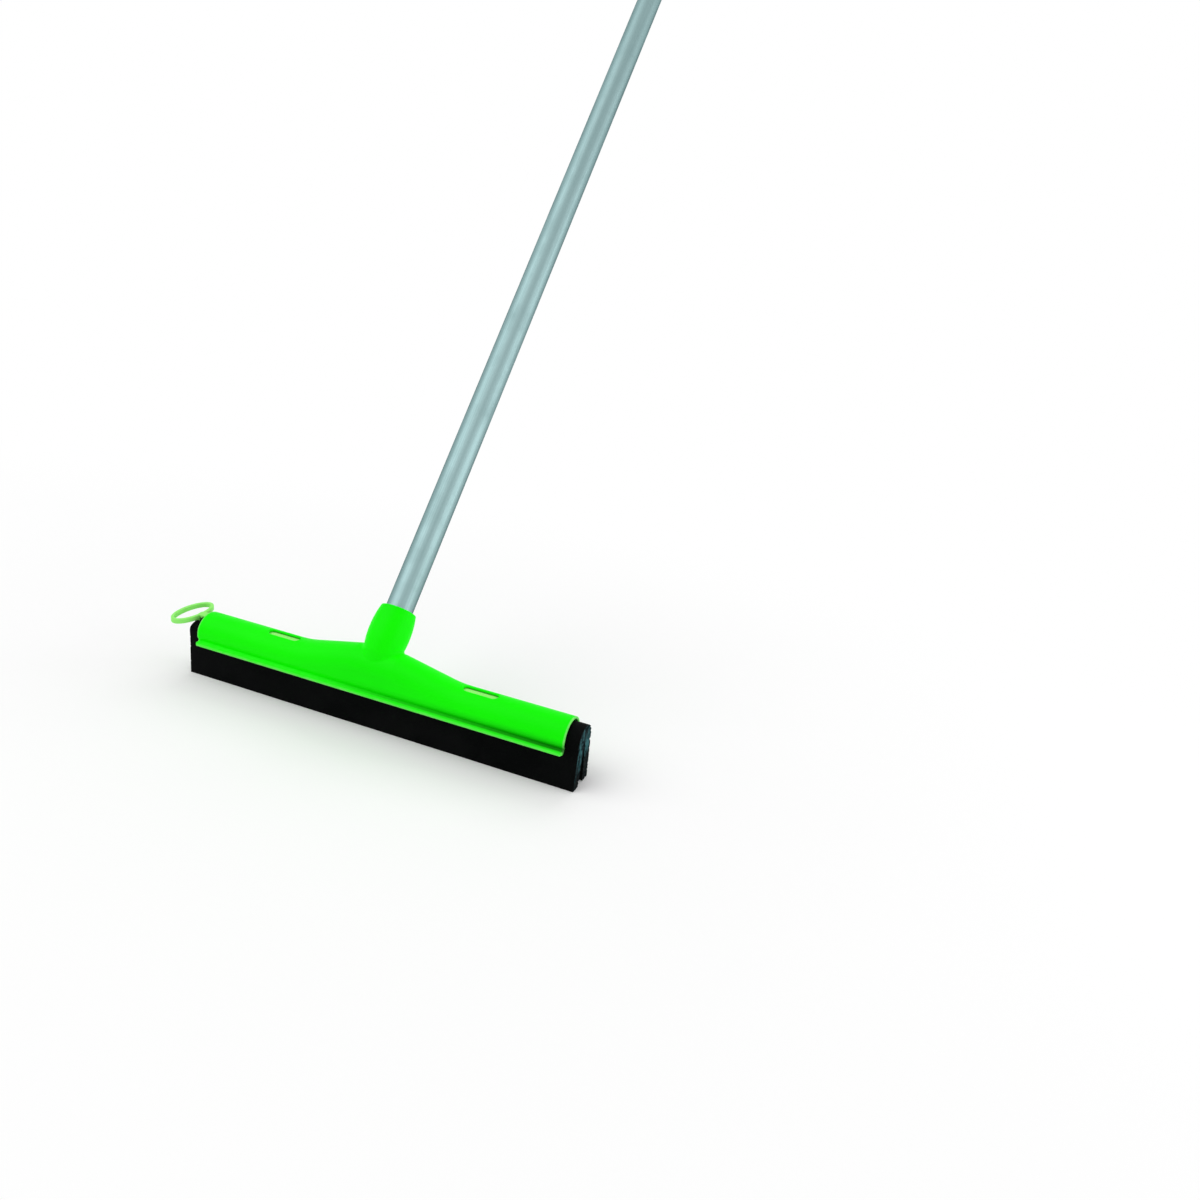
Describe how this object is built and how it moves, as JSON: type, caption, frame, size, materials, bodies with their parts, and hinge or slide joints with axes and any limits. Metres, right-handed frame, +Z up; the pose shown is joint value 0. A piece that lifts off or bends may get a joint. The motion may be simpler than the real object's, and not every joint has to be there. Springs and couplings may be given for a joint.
{
  "type": "floor squeegee",
  "caption": "Floor squeegee: moulded head with a slide-out cassette of black cellular rubber blades, a pull ring, and a round aluminium handle that screws into its socket.",
  "frame": {"origin": "on the floor, at the middle of the head, midway between the two blades", "axes": "+X along the head to the end without the ring, +Y back to the user, +Z up"},
  "size_m": [0.4207, 0.8067, 0.9948],
  "materials": {
    "frame_plastic": "bright green moulded plastic",
    "rail_plastic": "paler green moulded plastic",
    "blade_rubber": "black cellular rubber with a closed skin and cut ends",
    "tube_metal": "satin anodised",
    "ferrule_plastic": "dark grey moulded plastic",
    "cap_plastic": "bright green moulded plastic"
  },
  "bodies": {
    "head": {"head_frame": "frame_plastic"},
    "cassette": {"cassette_rail": "rail_plastic", "front_blade": "blade_rubber", "rear_blade": "blade_rubber"},
    "handle": {"handle_tube": "tube_metal"},
    "handle_ends": {"threaded_ferrule": "ferrule_plastic", "end_cap": "cap_plastic"}
  },
  "joints": [
    {"name": "cassette_slide", "type": "slide", "parent": "head", "child": "cassette", "axis": [-1, 0, 0], "range_m": [0, 0.4]},
    {"name": "handle_travel", "type": "slide", "parent": "head", "child": "handle", "axis": [0, 0.6428, 0.766], "range_m": [0, 0.025]},
    {"name": "handle_turn", "type": "hinge", "parent": "handle", "child": "handle_ends", "pos_m": [0, -0.004, 0.06], "axis": [0, 0.6428, 0.766], "range_deg": [0, 1801]}
  ],
  "couplings": [
    {"joint": "handle_turn", "follows": "handle_travel", "rad_per_m": 1256.6}
  ]
}
